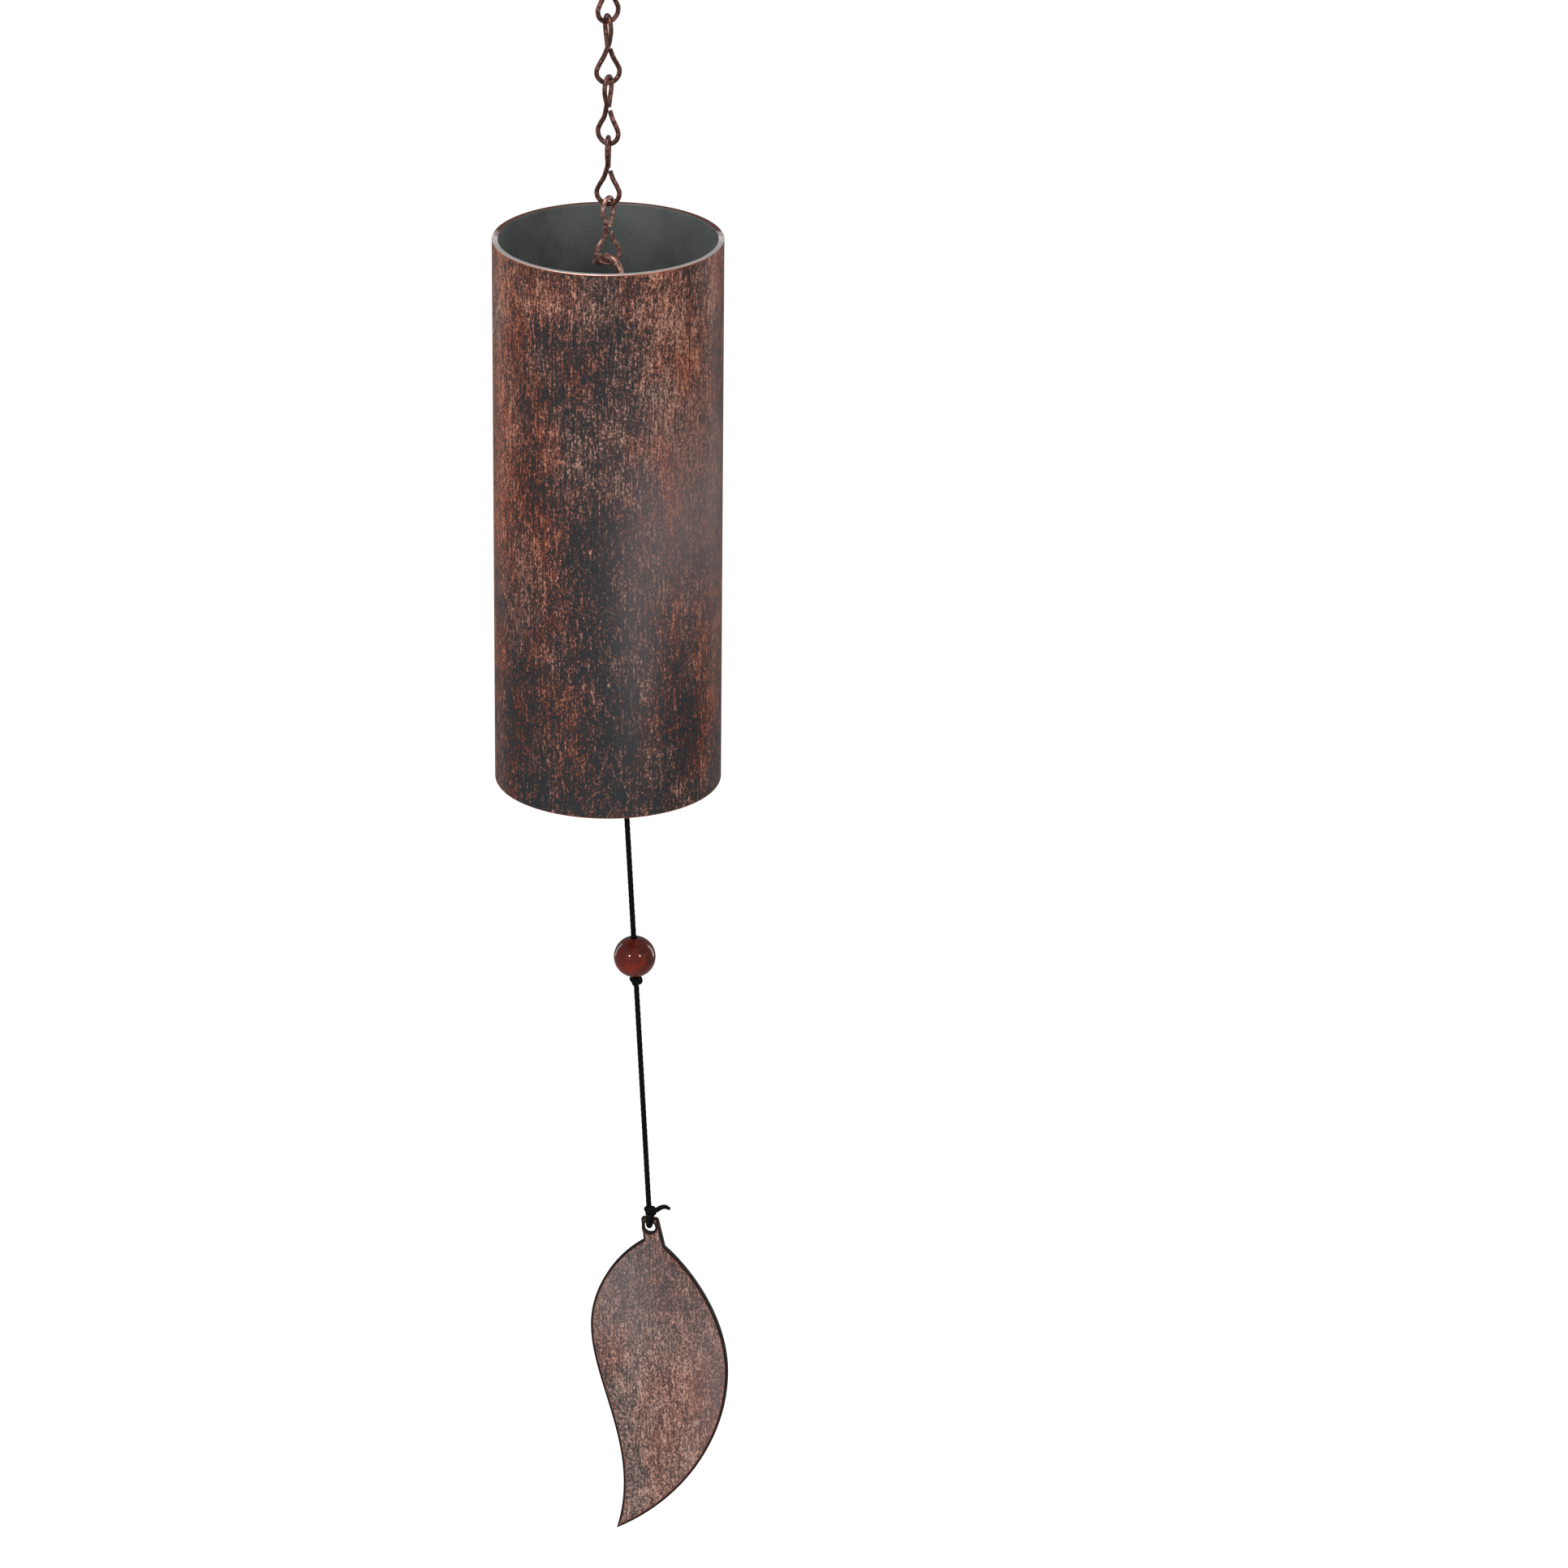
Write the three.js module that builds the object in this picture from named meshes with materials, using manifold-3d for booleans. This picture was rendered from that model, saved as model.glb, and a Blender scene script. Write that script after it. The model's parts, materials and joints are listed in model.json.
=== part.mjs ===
// A wind chime that hangs: one big tube on a chain, with a wooden striker inside it, and a cord that
// runs out below through a bead to a metal leaf, which catches the wind.
//
// Millimetres, +Z up. The origin is the hang point: the inside top of the hanging hook's upper bow.
// -Y is the front, the side that the leaf faces.
import * as THREE from "three";
import { mergeVertices } from "three/addons/utils/BufferGeometryUtils.js";
import Module from "manifold-3d";

const wasm = await Module();
wasm.setup();

// Driving dimensions.
const GAP = 0.3; // between pieces that rest on each other

const TUBE_DIAMETER = 76.2;
const TUBE_LENGTH = 190.5;
const TUBE_WALL = 2.0;
const TUBE_EDGE = 0.3; // the chamfer that breaks the rims' edges
const TUBE_SIDES = 72;

const LINK_COUNT = 5;
const LINK_WIRE = 1.6;
const LINK_PITCH = 20.6; // from one bearing point to the next
const LINK_WIDTH = 9.2; // across the outside of a loop
// How far each link's upper and lower loop are turned about the chain, in degrees. An untwisted link has
// its lower loop facing front, at 0, and its upper loop facing sideways, at 90.
const LINK_TURNS = [
  { upper: 102, lower: 30 },
  { upper: 104, lower: 12 },
  { upper: 73, lower: -30 },
  { upper: 86, lower: -14 },
  { upper: 62, lower: 10 },
];

const HOOK_WIRE = 2.5;
const HOOK_BOW = 6.5; // the radius of a bow, at the middle of the wire
const HOOK_REACH = 27.5; // from the inside of one bow to the inside of the other
const HOOK_TIP = 62; // how far each bow runs on past its bearing point, in degrees
const TOP_HOOK_TURN = 12; // about the vertical, in degrees
const TUBE_HOOK_TURN = -44;

const CROSSBAR_DIAMETER = 4.0;
const CROSSBAR_DROP = 33.0; // the bar's middle below the tube's top rim

const CORD_DIAMETER = 1.8;
const CORD_LEAN = 3.04; // the cord leans to the right, in degrees
const HITCH_OFFSET = 4.0; // the hitch sits this far along the crossbar from the tube's middle
const HITCH_KNOT = { width: 5.2, height: 5.0 };

// Places along the cord, measured down from the crossbar's middle.
const STRIKER_AT = 92;
const BEAD_AT = 223.5;
const LEAF_HOLE_AT = 325.9;

const STRIKER_DIAMETER = 38;
const STRIKER_HEIGHT = 16;
const STRIKER_ROUND = 4;
const BORE_CLEARANCE = 0.4; // round the cord in the striker and the bead
const STRIKER_KNOT = { width: 5.2, height: 4.4 };

const BEAD_DIAMETER = 14.3;
const BEAD_KNOT = { width: 4.8, height: 3.2 };

const LEAF_WIDTH = 49.2;
const LEAF_LENGTH = 119.3; // from the hole's middle to the tip
const LEAF_THICKNESS = 1.6;
const LEAF_TURN = -15; // about the vertical, in degrees
const HOLE_DIAMETER = 4.0;
const TAB_RIM = 1.6; // the metal between the hole and the tab's top edge
const TAB_WIDTH = 6.1;
const TAB_CORNER = 0.6;
const LEAF_KNOT = { width: 4.8, height: 3.4, depth: 4.0 };
const TAIL_LENGTH = 6.4;

// Shapes that several pieces share.
const radians = THREE.MathUtils.degToRad;
const vector = (x, y, z) => new THREE.Vector3(x, y, z);
const polar = (turn, reach, z) => vector(Math.cos(turn) * reach, Math.sin(turn) * reach, z);

const group = new THREE.Group();

const finishes = {
  bronze: { color: 0x4a2f26, roughness: 0.45, metalness: 0.8 },
  wire: { color: 0x3a2420, roughness: 0.4, metalness: 0.9 },
  steel: { color: 0x6b6f70, roughness: 0.5, metalness: 0.9 },
  cord: { color: 0x141414, roughness: 0.8, metalness: 0 },
  wood: { color: 0x7a5230, roughness: 0.6, metalness: 0 },
  bead: { color: 0x5e2a22, roughness: 0.1, metalness: 0 },
};

function welded(geometry) {
  geometry.deleteAttribute("normal");
  geometry.deleteAttribute("uv");
  return mergeVertices(geometry, 1e-4);
}

function piece(name, geometry, finish, parent = group) {
  const solid = welded(geometry);
  solid.computeVertexNormals();
  const mesh = new THREE.Mesh(solid, new THREE.MeshStandardMaterial(finishes[finish]));
  mesh.name = name;
  parent.add(mesh);
  return mesh;
}

function toManifold(geometry) {
  const solid = welded(geometry);
  const vertProperties = new Float32Array(solid.attributes.position.array);
  const triVerts = new Uint32Array(solid.index.array);
  return new wasm.Manifold(new wasm.Mesh({ numProp: 3, vertProperties, triVerts }));
}

function joined(...geometries) {
  const [first, ...others] = geometries.map(toManifold);
  const mesh = others.reduce((whole, next) => whole.add(next), first).getMesh();
  const geometry = new THREE.BufferGeometry();
  geometry.setAttribute("position", new THREE.BufferAttribute(mesh.vertProperties, 3));
  geometry.setIndex(new THREE.BufferAttribute(mesh.triVerts, 1));
  return geometry;
}

// A round rod of one diameter along a smooth curve through the points.
function rod(points, diameter, sides, steps) {
  const corner = (i) => {
    const angle = ((i + 0.5) / sides) * 2 * Math.PI;
    return new THREE.Vector2(Math.cos(angle), Math.sin(angle)).multiplyScalar(diameter / 2);
  };
  const section = new THREE.Shape(Array.from({ length: sides }, (_, i) => corner(i)));
  const extrudePath = new THREE.CatmullRomCurve3(points, false, "centripetal");
  return new THREE.ExtrudeGeometry(section, { steps, bevelEnabled: false, extrudePath });
}

// A ball flattened or stretched to a knot's width, depth and height.
function knot({ width, height, depth = width }) {
  return new THREE.IcosahedronGeometry(0.5, 3).scale(width, depth, height);
}

// Points along a circular arc in the plane that stands at a turn about the vertical.
function arc(turn, centreZ, radius, fromDegrees, toDegrees, count) {
  return Array.from({ length: count + 1 }, (_, i) => {
    const angle = radians(fromDegrees + ((toDegrees - fromDegrees) * i) / count);
    return polar(turn, Math.cos(angle) * radius, centreZ + Math.sin(angle) * radius);
  });
}

// One chain link, bent from one wire: two pear-shaped loops, wide at the bearing ends, that meet at the
// waist, where the wire's two ends butt beside the crossing. The waist is at the link's middle.
const LINK_HALF = (LINK_PITCH + LINK_WIRE + GAP) / 2;

// A loop's points are shares of its radius, across, and of the height of its middle, up or down.
function link({ upper, lower }) {
  const radius = (LINK_WIDTH - LINK_WIRE) / 2;
  const centre = LINK_HALF - radius;
  const beside = (LINK_WIRE + GAP) / 2;
  const loop = (turn, side) => [
    polar(turn, -0.42 * radius, side * 0.36 * centre),
    polar(turn, -0.78 * radius, side * 0.68 * centre),
    ...arc(turn, side * centre, radius, 180, 180 - side * 180, 4),
    polar(turn, 0.78 * radius, side * 0.68 * centre),
    polar(turn, 0.44 * radius, side * 0.36 * centre),
    polar(turn, beside, side * beside),
  ];
  const [up, down] = [radians(upper), radians(lower)];
  const waist = polar(up, -0.7 * beside, 0).add(polar(down, -0.7 * beside, 0));
  const points = [...loop(up, 1).reverse(), waist, ...loop(down, -1)];
  return rod(points, LINK_WIRE, 8, 52);
}

// An S-shaped hook that stands in the plane turned about the vertical, with its middle at the origin.
function hook(turn) {
  const centre = (HOOK_REACH + HOOK_WIRE) / 2 - HOOK_BOW;
  const slope = THREE.MathUtils.radToDeg(Math.asin(HOOK_BOW / centre));
  const points = [
    ...arc(turn, centre, HOOK_BOW, 90 + HOOK_TIP, -slope, 10),
    ...arc(turn, -centre, HOOK_BOW, 180 - slope, 270 + HOOK_TIP, 10),
  ];
  return rod(points, HOOK_WIRE, 10, 56);
}

// A profile of [radius, height] corners, turned about the vertical; it closes on itself.
function turned(profile, sides) {
  const corners = [...profile, profile[0]].map(([r, z]) => new THREE.Vector2(r, z));
  return new THREE.LatheGeometry(corners, sides).rotateX(Math.PI / 2);
}

// The chain: the hanging hook, the links below it and the hook that the tube hangs on.
const topWire = -HOOK_REACH + GAP + LINK_WIRE / 2;
const chainEnd = topWire - (LINK_COUNT - 1) * LINK_PITCH - 2 * LINK_HALF;
const tubeHookTop = chainEnd + LINK_WIRE / 2 + GAP;
const crossbarHeight = tubeHookTop - HOOK_REACH + GAP + CROSSBAR_DIAMETER / 2;
const rimHeight = crossbarHeight + CROSSBAR_DROP;

piece("hanging_hook", hook(radians(TOP_HOOK_TURN)), "wire").position.z = -HOOK_REACH / 2;
for (let i = 0; i < LINK_COUNT; i += 1) {
  const turns = LINK_TURNS[i % LINK_TURNS.length];
  piece(`chain_link_${i + 1}`, link(turns), "wire").position.z = topWire - LINK_HALF - i * LINK_PITCH;
}
piece("tube_hook", hook(radians(TUBE_HOOK_TURN)), "wire").position.z = tubeHookTop - HOOK_REACH / 2;

// The tube, and the bar welded across its inside, at right angles to the hook.
const outer = TUBE_DIAMETER / 2;
const inner = outer - TUBE_WALL;
const tubeProfile = [
  [outer - TUBE_EDGE, 0],
  [inner + TUBE_EDGE, 0],
  [inner, -TUBE_EDGE],
  [inner, TUBE_EDGE - TUBE_LENGTH],
  [inner + TUBE_EDGE, -TUBE_LENGTH],
  [outer - TUBE_EDGE, -TUBE_LENGTH],
  [outer, TUBE_EDGE - TUBE_LENGTH],
  [outer, -TUBE_EDGE],
];
piece("bell_tube", turned(tubeProfile, TUBE_SIDES), "bronze").position.z = rimHeight;

const barTurn = radians(TUBE_HOOK_TURN + 90);
// The bar's ends are flat and the wall is round, so the wall comes nearest at the bar's own sides.
const wallCurve = CROSSBAR_DIAMETER ** 2 / (8 * inner);
const barHalf = inner * Math.cos(Math.PI / TUBE_SIDES) - wallCurve - GAP;
const bar = new THREE.CylinderGeometry(CROSSBAR_DIAMETER / 2, CROSSBAR_DIAMETER / 2, 2 * barHalf, 16);
const crossbar = piece("crossbar", bar.rotateZ(-Math.PI / 2), "steel");
crossbar.position.z = crossbarHeight;
crossbar.rotation.z = barTurn;

// The cord hangs from the bar on a slant. Its pieces are placed down the slant from the bar's middle.
const slant = new THREE.Group();
slant.position.copy(polar(barTurn, -HITCH_OFFSET, crossbarHeight));
slant.rotation.y = -radians(CORD_LEAN);
group.add(slant);

const cordBore = CORD_DIAMETER / 2 + BORE_CLEARANCE;

function cord(name, from, to) {
  const length = Math.abs(to - from);
  const steps = Math.ceil(length / (2.5 * CORD_DIAMETER));
  const points = Array.from({ length: 5 }, (_, i) => vector(0, 0, from + ((to - from) * i) / 4));
  return piece(name, rod(points, CORD_DIAMETER, 8, steps), "cord", slant);
}

const ringRadius = CROSSBAR_DIAMETER / 2 + GAP + CORD_DIAMETER / 2;
const hitchRing = new THREE.TorusGeometry(ringRadius, CORD_DIAMETER / 2, 8, 24);
hitchRing.rotateX(Math.PI / 2).rotateZ(barTurn - Math.PI / 2);
const hitchKnotAt = -ringRadius - HITCH_KNOT.height / 2 + CORD_DIAMETER / 4;
const hitchKnot = knot(HITCH_KNOT).translate(0, 0, hitchKnotAt);
piece("cord_hitch", joined(hitchRing, hitchKnot), "cord", slant);

const strikerTop = -STRIKER_AT + STRIKER_HEIGHT / 2;
const strikerEnd = strikerTop - STRIKER_HEIGHT;
const strikerRadius = STRIKER_DIAMETER / 2;
const roundCorner = (sign) =>
  Array.from({ length: 5 }, (_, i) => {
    const angle = (i / 4) * (Math.PI / 2);
    const inset = STRIKER_ROUND * (1 - (sign > 0 ? Math.cos(angle) : Math.sin(angle)));
    const drop = STRIKER_ROUND * (1 - (sign > 0 ? Math.sin(angle) : Math.cos(angle)));
    return [strikerRadius - inset, sign * (STRIKER_HEIGHT / 2 - drop)];
  });
const strikerProfile = [
  [cordBore, -STRIKER_HEIGHT / 2],
  ...roundCorner(-1),
  ...roundCorner(1),
  [cordBore, STRIKER_HEIGHT / 2],
];
piece("striker", turned(strikerProfile, 48), "wood", slant).position.z = -STRIKER_AT;
const strikerKnotAt = strikerEnd - GAP - STRIKER_KNOT.height / 2;
piece("striker_knot", knot(STRIKER_KNOT), "cord", slant).position.z = strikerKnotAt;
cord("striker_cord", hitchKnotAt - HITCH_KNOT.height / 2 - GAP, strikerEnd);

const beadRadius = BEAD_DIAMETER / 2;
const beadBoreAngle = Math.asin(cordBore / beadRadius);
const beadProfile = Array.from({ length: 17 }, (_, i) => {
  const angle = beadBoreAngle + ((Math.PI - 2 * beadBoreAngle) * i) / 16;
  return [Math.sin(angle) * beadRadius, -Math.cos(angle) * beadRadius];
});
piece("bead", turned(beadProfile, 32), "bead", slant).position.z = -BEAD_AT;
const beadEnd = -BEAD_AT - Math.cos(beadBoreAngle) * beadRadius;
const beadKnotAt = beadEnd - GAP - BEAD_KNOT.height / 2;
piece("bead_knot", knot(BEAD_KNOT), "cord", slant).position.z = beadKnotAt;
cord("pull_cord_upper", strikerKnotAt - STRIKER_KNOT.height / 2 - GAP, beadEnd);

// The leaf hangs straight down from its tie: a loop of cord through the hole and the knot above the tab.
const tabTop = HOLE_DIAMETER / 2 + TAB_RIM;
const loopMiddle = HOLE_DIAMETER / 2 + TAB_RIM / 2;
const loopRadius = Math.hypot(TAB_RIM, LEAF_THICKNESS) / 2 + GAP + CORD_DIAMETER / 2;
const leafKnotHeight = loopMiddle + loopRadius + 0.8;

const tieTop = leafKnotHeight + LEAF_KNOT.height / 2 + GAP - LEAF_HOLE_AT;
cord("pull_cord_lower", beadKnotAt - BEAD_KNOT.height / 2 - GAP, tieTop);

const leafPlace = new THREE.Group();
slant.updateMatrixWorld(true);
leafPlace.position.copy(slant.localToWorld(vector(0, 0, -LEAF_HOLE_AT)));
leafPlace.rotation.z = radians(LEAF_TURN);
group.add(leafPlace);

const loopRing = new THREE.TorusGeometry(loopRadius, CORD_DIAMETER / 2, 8, 20);
loopRing.rotateY(Math.PI / 2).translate(0, 0, loopMiddle);
const leafKnot = knot(LEAF_KNOT).translate(0, 0, leafKnotHeight);
// The loose end leaves the knot to the right, rises, and droops at its tip.
const tail = [
  vector(0.5, -0.6, leafKnotHeight + 0.2),
  vector(0.35 * TAIL_LENGTH, -0.8, leafKnotHeight + 0.9),
  vector(0.7 * TAIL_LENGTH, -0.9, leafKnotHeight + 2.4),
  vector(0.9 * TAIL_LENGTH, -0.9, leafKnotHeight + 2.7),
  vector(TAIL_LENGTH + 1, -0.9, leafKnotHeight + 2.0),
];
piece("leaf_tie", joined(loopRing, leafKnot, rod(tail, 0.8 * CORD_DIAMETER, 8, 12)), "cord", leafPlace);

// The leaf's outline and its curves' handles, as shares of its width and its length from the hole.
const across = (share) => share * LEAF_WIDTH;
const down = (share) => -share * LEAF_LENGTH;
const outline = new THREE.Shape();
const tabHalf = TAB_WIDTH / 2;
outline.moveTo(-tabHalf, tabTop - TAB_CORNER);
outline.lineTo(across(-0.043), down(0.042));
outline.bezierCurveTo(across(-0.252), down(0.1), across(-0.429), down(0.218), across(-0.429), down(0.336));
outline.bezierCurveTo(across(-0.429), down(0.529), across(-0.053), down(0.73), across(-0.238), down(1));
outline.bezierCurveTo(across(0.252), down(0.882), across(0.571), down(0.663), across(0.571), down(0.445));
outline.bezierCurveTo(across(0.571), down(0.277), across(0.325), down(0.13), across(0.11), down(0.058));
outline.lineTo(tabHalf, tabTop - TAB_CORNER);
outline.lineTo(tabHalf - TAB_CORNER, tabTop);
outline.lineTo(TAB_CORNER - tabHalf, tabTop);
outline.closePath();
const hole = new THREE.Path().absarc(0, 0, HOLE_DIAMETER / 2, 0, 2 * Math.PI, true);
outline.holes.push(hole);
const plate = new THREE.ExtrudeGeometry(outline, {
  depth: LEAF_THICKNESS,
  bevelEnabled: false,
  curveSegments: 16,
});
piece("leaf", plate.rotateX(Math.PI / 2).translate(0, LEAF_THICKNESS / 2, 0), "bronze", leafPlace);

export default group;
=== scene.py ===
"""A wind chime that hangs from a hook: the looks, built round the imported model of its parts."""

import json
import math

import bmesh
import bpy
from mathutils import Matrix, Vector


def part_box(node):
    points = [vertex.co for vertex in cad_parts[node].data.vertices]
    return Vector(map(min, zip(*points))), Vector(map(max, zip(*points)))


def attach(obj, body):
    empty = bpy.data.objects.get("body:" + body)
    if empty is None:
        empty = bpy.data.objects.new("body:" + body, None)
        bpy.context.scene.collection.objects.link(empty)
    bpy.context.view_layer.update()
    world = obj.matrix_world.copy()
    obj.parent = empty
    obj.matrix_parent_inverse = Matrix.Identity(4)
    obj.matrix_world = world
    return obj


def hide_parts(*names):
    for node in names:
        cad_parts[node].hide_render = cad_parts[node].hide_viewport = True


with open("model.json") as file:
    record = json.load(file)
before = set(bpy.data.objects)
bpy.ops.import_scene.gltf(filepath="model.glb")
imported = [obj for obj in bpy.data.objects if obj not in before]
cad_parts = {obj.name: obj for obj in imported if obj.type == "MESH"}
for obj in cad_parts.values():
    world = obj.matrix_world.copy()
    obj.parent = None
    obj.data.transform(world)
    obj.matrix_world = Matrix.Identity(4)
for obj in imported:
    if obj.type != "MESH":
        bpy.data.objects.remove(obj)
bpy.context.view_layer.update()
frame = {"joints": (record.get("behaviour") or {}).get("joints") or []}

bl_info = {
    "name": "Wind Chime",
    "version": (1, 0, 0),
    "blender": (4, 5, 0),
    "location": "3D View > Sidebar > Wind Chime",
    "description": "Makes a hanging wind chime with a tube, a chain, a striker, a bead and a leaf",
    "category": "Add Mesh",
}

JOINTS = {joint["name"]: joint for joint in frame["joints"]}
MM = 0.001
GAP = 0.3 * MM  # left between surfaces that would otherwise touch

# The camera stands in front of the hang point and above it, and looks down into the tube's mouth.
CAMERA_BACK, CAMERA_UP = 2.27994, 0.63897
CAMERA_TILT = math.radians(22.731)  # below the horizon
CAMERA_LENS, CAMERA_SHIFT = 168.17, 0.1122

FLOOR_HEIGHT, FLOOR_RADIUS = -2.2, 24.0

# How far each chain link's upper and lower loop are turned about the chain, in degrees.
LINK_TURNS = ((102, 30), (104, 12), (73, -30), (86, -14), (62, 10))


def place(joint):
    """Where a joint's axis passes, in metres."""
    return Vector(JOINTS[joint]["pos_m"])


def middle(node):
    """The middle of a node's box at rest, in metres."""
    low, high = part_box(node)
    return (low + high) / 2


# ---------------------------------------------------------------------------------------------------
# Settings


class ChimeSizes(bpy.types.PropertyGroup):
    """The sizes that the frame doesn't already fix."""

    link_wire: bpy.props.FloatProperty(
        name="Link wire", description="Diameter of the chain's wire", default=1.6 * MM, unit="LENGTH"
    )
    link_width: bpy.props.FloatProperty(
        name="Link width", description="Across the outside of a chain loop", default=9.2 * MM, unit="LENGTH"
    )
    link_reach: bpy.props.FloatProperty(
        name="Link reach", description="Between the wire's middles, end to end", default=22.5 * MM, unit="LENGTH"
    )
    hook_wire: bpy.props.FloatProperty(
        name="Hook wire", description="Diameter of the hooks' wire", default=2.5 * MM, unit="LENGTH"
    )
    hook_bow: bpy.props.FloatProperty(
        name="Hook bow", description="Radius of a hook's bow at the wire's middle", default=6.5 * MM, unit="LENGTH"
    )
    hook_reach: bpy.props.FloatProperty(
        name="Hook reach", description="Between the wire's middles, end to end", default=30 * MM, unit="LENGTH"
    )
    hook_tip: bpy.props.FloatProperty(
        name="Hook tip", description="How far a bow runs past its top", default=math.radians(62), subtype="ANGLE"
    )
    tube_wall: bpy.props.FloatProperty(
        name="Tube wall", description="Thickness of the tube's wall", default=2.0 * MM, unit="LENGTH"
    )
    tube_edge: bpy.props.FloatProperty(
        name="Tube edge", description="Rounding of the tube's rims", default=0.35 * MM, unit="LENGTH"
    )
    cord: bpy.props.FloatProperty(
        name="Cord", description="Diameter of the cord", default=1.8 * MM, unit="LENGTH"
    )
    bore: bpy.props.FloatProperty(
        name="Bore", description="Diameter of the holes in striker and bead", default=2.6 * MM, unit="LENGTH"
    )
    leaf_hole: bpy.props.FloatProperty(
        name="Leaf hole", description="Diameter of the hole in the leaf's tab", default=4.0 * MM, unit="LENGTH"
    )
    leaf_edge: bpy.props.FloatProperty(
        name="Leaf edge", description="Rounding of the leaf's cut edge", default=0.22 * MM, unit="LENGTH"
    )


class ChimeColours(bpy.types.PropertyGroup):
    """Colours as sRGB hex values."""

    charcoal: bpy.props.StringProperty(name="Charcoal", description="Dark base coat", default="#1f2629")
    plum: bpy.props.StringProperty(name="Plum", description="Base coat, half rubbed", default="#44302d")
    dusty: bpy.props.StringProperty(name="Dusty copper", description="Thin dull copper", default="#78594f")
    pale: bpy.props.StringProperty(name="Pale copper", description="Specks of dull copper", default="#c09a8a")
    umber: bpy.props.StringProperty(name="Umber", description="Base coat under warm copper", default="#4a271f")
    copper: bpy.props.StringProperty(name="Copper", description="Rubbed copper", default="#8b4834")
    bright: bpy.props.StringProperty(name="Bright copper", description="Polished copper", default="#cb8764")
    # Grey mixed in at given places; on the tube it is a painted sheen.
    haze_and_sheen: bpy.props.StringProperty(name="Haze", description="Bloom in the lacquer", default="#6d6465")
    leaf_dark: bpy.props.StringProperty(name="Leaf, dark", description="Leaf's base coat", default="#282a2c")
    leaf_middle: bpy.props.StringProperty(name="Leaf, middle", description="Leaf, half rubbed", default="#4c3e3c")
    leaf_light: bpy.props.StringProperty(name="Leaf, light", description="Leaf's rubbed copper", default="#836960")
    leaf_warm: bpy.props.StringProperty(name="Leaf, warm", description="Leaf's redder copper", default="#87594a")
    leaf_bright: bpy.props.StringProperty(name="Leaf, bright", description="Leaf's specks", default="#bb998a")
    inside: bpy.props.StringProperty(name="Inside", description="Paint inside the tube", default="#4e5251")
    # Steel-white for the painted highlight on the front of the rims.
    rim: bpy.props.StringProperty(name="Rim", description="Bare steel on the rims", default="#e2dcd8")
    cord: bpy.props.StringProperty(name="Cord", description="Waxed cord", default="#040404")
    wood: bpy.props.StringProperty(name="Wood", description="Stained wood of the striker", default="#6e4526")
    bead: bpy.props.StringProperty(name="Bead", description="Glaze of the bead", default="#4f180f")


def sizes():
    return bpy.context.scene.chime_sizes


def colours():
    return bpy.context.scene.chime_colours


# ---------------------------------------------------------------------------------------------------
# Materials


def linear(code):
    """An sRGB hex colour as linear RGBA."""
    channels = [int(code[i : i + 2], 16) / 255 for i in (1, 3, 5)]
    return (*[c / 12.92 if c <= 0.04045 else ((c + 0.055) / 1.055) ** 2.4 for c in channels], 1.0)


def add(tree, kind, inputs=None, **settings):
    """Adds a node, sets it, and fills its inputs with values or links."""
    made = tree.nodes.new(kind)
    for name, value in settings.items():
        setattr(made, name, value)
    for key, value in (inputs or {}).items():
        socket = made.inputs[key]
        if isinstance(value, bpy.types.NodeSocket):
            tree.links.new(value, socket)
        else:
            socket.default_value = value
    return made


def new_material(name):
    """A node material with its shader, and the object's own coordinates to draw on."""
    material = bpy.data.materials.new(name)
    material.use_nodes = True
    tree = material.node_tree
    tree.nodes.clear()
    shader = add(tree, "ShaderNodeBsdfPrincipled")
    add(tree, "ShaderNodeOutputMaterial", {"Surface": shader.outputs["BSDF"]})
    spot = add(tree, "ShaderNodeTexCoord").outputs["Object"]
    return material, tree, shader, spot


def noise(tree, spot, grain, stretch=1.0, detail=2.0, distortion=0.0, offset=0.0, crisp=0.5):
    """Noise whose spots are grain millimetres across, and stretch times as long along Z."""
    per_metre = 1000 / grain
    mapped = add(
        tree,
        "ShaderNodeMapping",
        {"Vector": spot, "Location": (offset, offset, offset), "Scale": (1, 1, 1 / stretch)},
    )
    made = add(
        tree,
        "ShaderNodeTexNoise",
        {
            "Vector": mapped.outputs["Vector"],
            "Scale": per_metre,
            "Detail": detail,
            "Roughness": crisp,
            "Distortion": distortion,
        },
    )
    return made.outputs["Fac"]


def calculate(tree, operation, *values, clamp=False):
    made = add(tree, "ShaderNodeMath", dict(enumerate(values)), operation=operation, use_clamp=clamp)
    return made.outputs[0]


def ramp(tree, value, *stops):
    """Colours along a value; each stop is a position and a linear colour."""
    made = add(tree, "ShaderNodeValToRGB", {"Fac": value})
    band = made.color_ramp
    band.elements[0].position, band.elements[0].color = stops[0]
    band.elements[1].position, band.elements[1].color = stops[-1]
    for position, colour in stops[1:-1]:
        band.elements.new(position).color = colour
    return made.outputs["Color"]


def bump(tree, height, depth, strength=1.0):
    """Relief of a depth in millimetres."""
    made = add(
        tree, "ShaderNodeBump", {"Height": height, "Distance": depth * MM, "Strength": strength}
    )
    return made.outputs["Normal"]


def round_place(tree, spot, across, up, half_width, half_height):
    """Nearly 1 in the middle of a place on a piece's front and back, and fading out past its reach."""
    moved = add(
        tree,
        "ShaderNodeMapping",
        {
            "Vector": spot,
            "Location": (-across / half_width, 0, -up / half_height),
            "Scale": (1 / half_width, 0, 1 / half_height),
        },
    ).outputs["Vector"]
    reach = add(tree, "ShaderNodeVectorMath", {0: moved}, operation="LENGTH").outputs["Value"]
    return calculate(tree, "EXPONENT", calculate(tree, "MULTIPLY", calculate(tree, "POWER", reach, 2), -1))


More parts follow.
